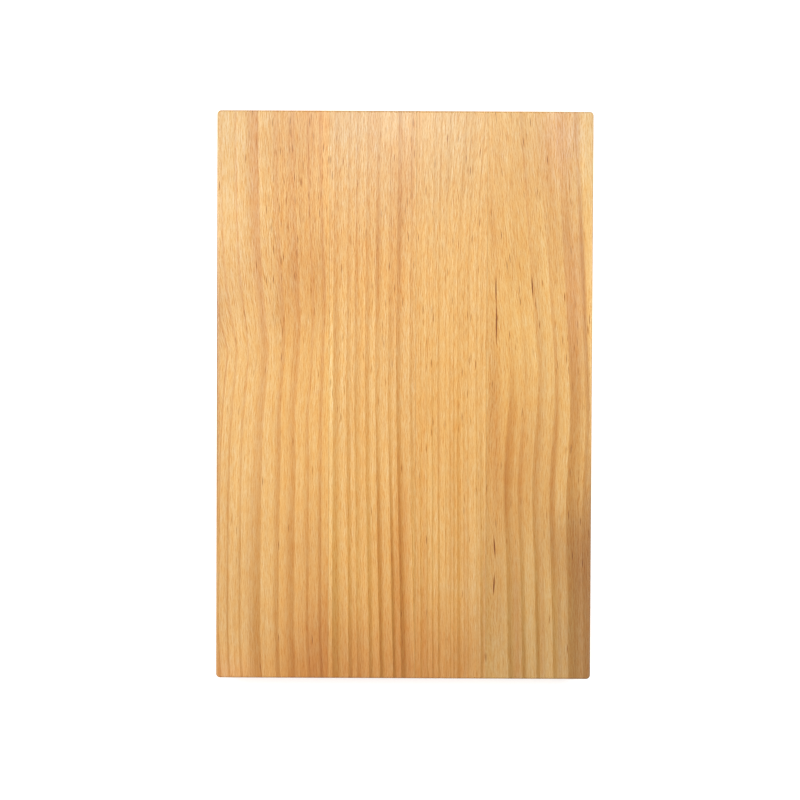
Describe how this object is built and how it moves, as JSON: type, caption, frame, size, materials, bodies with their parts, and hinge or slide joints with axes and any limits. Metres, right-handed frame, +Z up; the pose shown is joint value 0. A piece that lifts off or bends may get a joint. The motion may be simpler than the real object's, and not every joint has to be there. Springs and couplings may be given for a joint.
{
  "type": "wooden serving board",
  "caption": "Flat rectangular serving board of edge-glued pine staves, with rounded-over edges and a clear satin finish, for serving, cutting or display.",
  "frame": {"origin": "middle of the underside, where the board rests", "axes": "+X across the grain towards the right stave, +Y along the grain towards the far end, +Z up out of the serving face"},
  "size_m": [0.1984, 0.3, 0.018],
  "materials": {
    "oiled_pine": "planed and sanded pine under a clear satin oil",
    "cured_glue": "cured wood glue, scraped and sanded flush"
  },
  "bodies": {
    "root": {"left_stave": "oiled_pine", "left_glue_line": "cured_glue", "centre_left_stave": "oiled_pine", "centre_glue_line": "cured_glue", "centre_right_stave": "oiled_pine", "right_glue_line": "cured_glue", "right_stave": "oiled_pine"}
  },
  "joints": []
}
